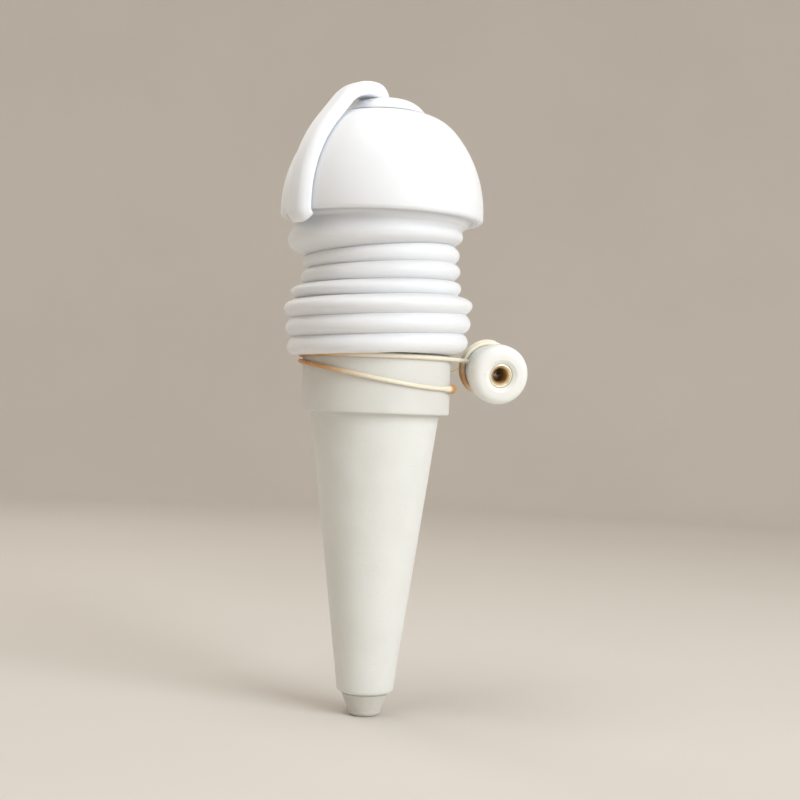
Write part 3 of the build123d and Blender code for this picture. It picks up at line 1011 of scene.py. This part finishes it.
class SPIKE_OT_bellows(bpy.types.Operator):
    """Soft ribbed reservoir, with ribs that lean and slip"""

    bl_idname = "spike.bellows"
    bl_label = "Bellows"

    def execute(self, context):
        shape = context.scene.spike_shape
        finish = context.scene.spike_finish
        low = bellows_low.z
        sleeve = neck_radius + slip_gap
        lip_low = bellows_high.z - lip_depth
        outside = rib_outline()
        brim = outside[-1][0]
        outside = [point for point in outside if point[1] < lip_top - lip_cove]
        inside = [point for point in rib_outline(bellows_wall) if low + bellows_wall < point[1] < lip_low]
        outline = [(sleeve, low), (sleeve + base_ring_width, low), (collar_radius, low)] + outside
        outline += arc((brim + lip_cove, lip_top - lip_cove), lip_cove, pi, pi / 2, 8)
        outline += [(lip_inner_radius, lip_top), (lip_inner_radius, lip_low)] + inside[::-1]
        outline += [
            (inside[0][0], low + bellows_wall),
            (sleeve + cuff_wall, low + bellows_wall),
            (sleeve + cuff_wall, low + cuff_length),
            (sleeve, low + cuff_length),
            (sleeve, low),
        ]
        bellows = turn_outline("soft_bellows", outline, soft_crease)
        mark_folds(bellows)
        lean_ribs(bellows, shape.rib_lean, shape.rib_nod)
        make_uneven(bellows, bellows_wave, bellows_unevenness)
        soft = paint_soft_white(finish.soft_white, finish.painted_fold_shade)
        finish_piece(bellows, soft, "soft_white", "reservoir", "bellows")
        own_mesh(bellows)
        return {"FINISHED"}


class SPIKE_OT_cap(bpy.types.Operator):
    """Glossy dome, and the finish of the ring that closes it"""

    bl_idname = "spike.cap"
    bl_label = "Domed Cap"

    def execute(self, context):
        bore = dome_rim_radius - dome_wall
        ceiling = crown_top - dome_wall
        boss = plug_hole_radius + boss_wall
        rim = rounded([
            (bore, cap_base, 0),
            (dome_rim_radius, cap_base, dome_rim_round),
            (dome_rim_radius, cap_base + dome_rim_height, 0),
        ])
        side = arc(side_middle, side_radius, 0, meeting_angle, 28)
        crown = arc(crown_middle, crown_radius, meeting_angle, pi / 2, 16)
        inner_crown = arc(crown_middle, crown_radius - dome_wall, pi / 2, meeting_angle, 8)
        inner_side = arc(side_middle, side_radius - dome_wall, meeting_angle, 0, 14)
        outline = rim[:-1] + side + crown[1:] + [
            (plug_hole_radius + plug_hole_chamfer, crown_top),
            (plug_hole_radius, crown_top - plug_hole_chamfer),
            (plug_hole_radius, crown_top - boss_length),
            (boss, crown_top - boss_length),
            (boss, ceiling),
        ]
        outline += inner_crown + inner_side[1:] + [(bore, cap_base)]
        dome = turn_outline("domed_cap", outline, dome_crease)
        gloss = paint_cap_white(context.scene.spike_finish.cap_white)
        finish_piece(dome, gloss, "cap_plastic", "cap", "dome_cap")
        dress(frame["nodes"]["cap_ring"], gloss)
        return {"FINISHED"}


class SPIKE_OT_plug(bpy.types.Operator):
    """Round filler plug in the crown"""

    bl_idname = "spike.plug"
    bl_label = "Filler Plug"

    def execute(self, context):
        finish = context.scene.spike_finish
        across = plug_head_radius - plug_flat_radius
        up = plug_top - plug_seat - plug_edge_height
        bow = (across**2 + up**2) / (2 * up)
        reach = atan2(bow - up, across)
        crown = arc((plug_flat_radius, plug_top - bow), bow, pi / 2, reach, 16)
        outline = [(0, plug_top)] + crown + [
            (plug_head_radius + plug_lip_swell, plug_seat + plug_lip_height),
            (plug_head_radius + plug_skirt_width, crown_top - plug_skirt_sink),
            (plug_stem_radius, plug_seat),
            (plug_stem_radius, plug_low.z + plug_stem_chamfer),
            (plug_stem_radius - plug_stem_chamfer, plug_low.z),
            (0, plug_low.z),
        ]
        plug = turn_outline("filler_button", divided(outline, usual_step))
        soft = paint_soft_white(finish.soft_white, finish.painted_fold_shade)
        finish_piece(plug, soft, "soft_white", "plug", "filler_plug")
        return {"FINISHED"}


class SPIKE_OT_strap(bpy.types.Operator):
    """Strap from under the rim, along the dome and over onto the plug"""

    bl_idname = "spike.strap"
    bl_label = "Tether Strap"

    def execute(self, context):
        finish = context.scene.spike_finish
        half = strap_thickness / 2
        lie_radius = side_radius + bond_gap + half
        leave = meeting_angle
        foot = (dome_rim_radius + bond_gap - strap_foot_radius, cap_base)
        start = on_circle(foot, strap_foot_radius + half, -strap_foot_turn)
        lie_end = on_circle(side_middle, lie_radius, leave)
        arch_top = plug_top + strap_rise
        slack = tan((pi / 2 - leave) / 2) * strap_arch_radius
        corner = lie_end[0] - (arch_top - lie_end[1]) * tan(leave)
        run_up = (arch_top - lie_end[1]) / cos(leave) - slack
        arch_middle = (corner - slack, arch_top - strap_arch_radius)
        end_middle = (strap_end_offset + strap_end_radius, arch_top - strap_end_radius)
        run_over = arch_middle[0] - end_middle[0]

        select_only(None)
        bpy.ops.mesh.primitive_plane_add(
            size=1, enter_editmode=True, location=(start[0], 0, start[1]), rotation=(0, strap_foot_turn, 0)
        )
        strap = named(bpy.context.object, "tether_strap_soft")
        strap.scale = (strap_thickness, strap_width, 1)
        bpy.ops.object.mode_set(mode="OBJECT")
        bpy.ops.object.transform_apply(location=True, rotation=True, scale=True)

        # The section's side on the dome is widened, so that the strap's flanks slant
        bpy.ops.object.mode_set(mode="EDIT")
        bpy.ops.mesh.select_all(action="DESELECT")
        bpy.ops.object.mode_set(mode="OBJECT")
        for vertex in strap.data.vertices:
            from_foot = Vector((vertex.co.x - foot[0], vertex.co.z - foot[1]))
            vertex.select = from_foot.length < strap_foot_radius + half
        bpy.ops.object.mode_set(mode="EDIT")
        bpy.ops.transform.resize(value=(1, strap_base_growth, 1))
        bpy.ops.mesh.select_all(action="SELECT")
        bpy.ops.mesh.bevel(affect="VERTICES", offset=strap_edge, segments=6)
        bpy.ops.mesh.select_all(action="SELECT")

        def bend(middle, angle, steps):
            bpy.ops.mesh.spin(steps=steps, angle=angle, center=(middle[0], 0, middle[1]), axis=(0, 1, 0))

        def run(across, up, steps):
            for step in range(steps):
                value = (across / steps, 0, up / steps)
                bpy.ops.mesh.extrude_region_move(TRANSFORM_OT_translate={"value": value})

        def bend_and_grow(middle, radius, start, angle, growth, steps):
            for step in range(1, steps + 1):
                bend(middle, angle / steps, 1)
                edge = on_circle(middle, radius + half, start + angle * step / steps)
                thicker = growth ** (1 / steps)
                bpy.ops.transform.resize(value=(thicker, 1, thicker), center_override=(edge[0], 0, edge[1]))

        bend(foot, strap_foot_turn, steps=8)
        run(0, dome_rim_height, steps=2)
        bend(side_middle, leave, steps=24)
        run(-sin(leave) * run_up, cos(leave) * run_up, steps=3)
        bend_and_grow(arch_middle, strap_arch_radius, leave, pi / 2 - leave, strap_arch_growth, steps=14)
        run(-run_over, 0, steps=3)
        bend_and_grow(end_middle, strap_end_radius, pi / 2, pi / 2, strap_end_growth, steps=10)
        close_mesh()
        stand_at(strap, Matrix.Rotation(strap_azimuth, 4, "Z"))
        bpy.ops.object.shade_smooth_by_angle(angle=strap_crease)
        soft = paint_soft_white(finish.soft_white, finish.painted_fold_shade)
        finish_piece(strap, soft, "soft_white", None, "tether_strap")
        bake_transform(strap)
        return {"FINISHED"}


class SPIKE_OT_bead(bpy.types.Operator):
    """Barrel bead and its brass bush"""

    bl_idname = "spike.bead"
    bl_label = "Bead and Bush"

    def execute(self, context):
        shape = context.scene.spike_shape
        finish = context.scene.spike_finish
        bush_radius = bush_bore_radius + bush_wall
        flange = bush_radius + bush_flange_width
        bush_seat = dish_floor - bush_flange_thickness
        hole = bush_radius + bond_gap
        pocket = flange + bond_gap
        flare_end = bead_seat_length + bead_flare
        groove = bead_front - groove_back
        crest = bead_radius + bead_swell
        shoulder = (bead_radius - bead_shoulder, flare_end + bead_shoulder_height, 0)
        outline = rounded([
            shoulder,
            (bead_seat_radius, bead_seat_length, bead_seat_round),
            (bead_seat_radius, -bead_rear, bead_rear_round),
            (hole, -bead_rear, 0),
            (hole, bush_seat, 0),
            (pocket, bush_seat, 0),
            (pocket, dish_floor, bead_pocket_round),
            (bead_dish_radius, bead_front, bead_dish_round),
            (bead_radius, bead_front, bead_front_round),
            (crest, groove + groove_half_width, 0),
            (crest - shape.bead_groove, groove, groove_round),
            (bead_radius, groove - groove_half_width, 0),
            shoulder,
        ], steps=8)
        bead = turn_outline("barrel_bead", divided(outline, bead_step))
        make_uneven(bead, bead_wave, bead_unevenness)
        stand_at(bead, bead_place)
        satin = paint_ceramic("satin_bead", finish.bead_cream, finish.cone_speck)
        finish_piece(bead, satin, "bead_ceramic", "bead", "bead")

        bore_top = dish_floor - bush_lead_depth
        outline = [(bush_bore_radius, -bead_rear), (bush_radius, -bead_rear), (bush_radius, bush_seat)]
        outline += rounded([
            (flange, bush_seat, 0),
            (flange, dish_floor, bush_flange_round),
            (bush_bore_radius + bush_lead, dish_floor, bush_lead_round),
            (bush_bore_radius, bore_top, 0),
        ])
        pitch = shape.thread_pitch
        root = bush_bore_radius + thread_depth * pitch
        for turn in range(int(thread_length / pitch)):
            top = bore_top - turn * pitch
            outline += [(bush_bore_radius, top - thread_crest * pitch), (root, top - thread_root * pitch)]
        outline.append((bush_bore_radius, -bead_rear))
        bush = turn_outline("brass_bush_turned", outline, bush_crease)
        stand_at(bush, bead_place)
        brass = paint_brass(finish.bush_brass, finish.bore_brown)
        finish_piece(bush, brass, "brass", "bead", "brass_bush")
        return {"FINISHED"}


class SPIKE_OT_band(bpy.types.Operator):
    """Rubber band wound round the collar and the bead"""

    bl_idname = "spike.band"
    bl_label = "Retaining Band"

    def execute(self, context):
        thickness = context.scene.spike_shape.band_thickness
        band = lay_band("amber_band", band_route(thickness), thickness)
        finish = context.scene.spike_finish
        amber = paint_amber(finish.band_amber, finish.band_cream)
        finish_piece(band, amber, "amber_rubber", "spike", "retaining_band")
        return {"FINISHED"}


class SPIKE_OT_seals(bpy.types.Operator):
    """Rubber finish of the hidden washer and seal"""

    bl_idname = "spike.seals"
    bl_label = "Seals"

    def execute(self, context):
        rubber = paint_seal(context.scene.spike_finish.seal_grey)
        for name in ("cone_gasket", "cap_seal"):
            dress(frame["nodes"][name], rubber)
        return {"FINISHED"}


class SPIKE_OT_studio(bpy.types.Operator):
    """Round floor with an upturned edge, soft lamps and the camera"""

    bl_idname = "spike.studio"
    bl_label = "Studio"

    def lamp(self, name, power):
        """Square soft lamp from the list of lamps, with its power."""
        place, size, colour = lamps[name]
        bpy.ops.object.light_add(type="AREA", location=place)
        lamp = named(bpy.context.object, name)
        lamp.data.size = size
        lamp.data.energy = power
        lamp.data.color = colour
        lamp.visible_camera = False
        lamp.rotation_euler = (lamp_aim - place).to_track_quat("-Z", "Y").to_euler()

    def execute(self, context):
        studio = context.scene.spike_studio
        ground = tip_low.z
        outline = [(0, ground), (floor_flat, ground)]
        outline += arc((floor_flat, ground + floor_upturn), floor_upturn, -pi / 2, 0, 24)[1:]
        outline.append((floor_flat + floor_upturn, ground + floor_upturn + floor_wall))
        floor = turn_outline("studio_floor", outline, soft_crease)
        dress(floor, paint_floor(studio.floor_colour))
        select_only(None)
        self.lamp("key_lamp", studio.key_power)
        self.lamp("top_lamp", studio.top_power)
        self.lamp("back_lamp", studio.back_power)
        world = bpy.data.worlds.new("studio_sky")
        world.use_nodes = True
        sky = world.node_tree.nodes["Background"]
        sky.inputs["Color"].default_value = sky_colour
        sky.inputs["Strength"].default_value = studio.sky_level
        context.scene.world = world
        place = (studio.camera_right, -studio.camera_away, studio.camera_height)
        bpy.ops.object.camera_add(location=place, rotation=(pi / 2, -studio.camera_roll, 0))
        camera = named(bpy.context.object, "studio_camera")
        camera.data.lens = studio.lens
        camera.data.sensor_width = 36
        camera.data.clip_start = 0.01
        context.scene.camera = camera
        context.scene.view_settings.view_transform = "Standard"
        return {"FINISHED"}


class SPIKE_PT_panel(bpy.types.Panel):
    """Pieces, sizes, colours and studio of the spike"""

    bl_idname = "SPIKE_PT_panel"
    bl_label = "Self Watering Spike"
    bl_space_type = "VIEW_3D"
    bl_region_type = "UI"
    bl_category = "Spike"

    def draw(self, context):
        for settings in (context.scene.spike_shape, context.scene.spike_finish, context.scene.spike_studio):
            box = self.layout.box()
            for name in settings.__annotations__:
                box.prop(settings, name)
        for operator in operators:
            self.layout.operator(operator.bl_idname)


operators = (
    SPIKE_OT_studio,
    SPIKE_OT_cone,
    SPIKE_OT_collar,
    SPIKE_OT_bellows,
    SPIKE_OT_cap,
    SPIKE_OT_plug,
    SPIKE_OT_strap,
    SPIKE_OT_bead,
    SPIKE_OT_band,
    SPIKE_OT_seals,
)
settings_groups = {"spike_shape": SpikeShape, "spike_finish": SpikeFinish, "spike_studio": SpikeStudio}
classes = (*settings_groups.values(), *operators, SPIKE_PT_panel)


def register():
    for each in classes:
        bpy.utils.register_class(each)
    for name, group in settings_groups.items():
        setattr(bpy.types.Scene, name, PointerProperty(type=group))


def unregister():
    for name in settings_groups:
        delattr(bpy.types.Scene, name)
    for each in reversed(classes):
        bpy.utils.unregister_class(each)


def main():
    """Make the studio and every piece in order."""
    register()
    bpy.ops.spike.studio()
    bpy.ops.spike.cone()
    bpy.ops.spike.collar()
    bpy.ops.spike.bellows()
    bpy.ops.spike.cap()
    bpy.ops.spike.plug()
    bpy.ops.spike.strap()
    bpy.ops.spike.bead()
    bpy.ops.spike.band()
    bpy.ops.spike.seals()


if __name__ == "__main__":
    main()
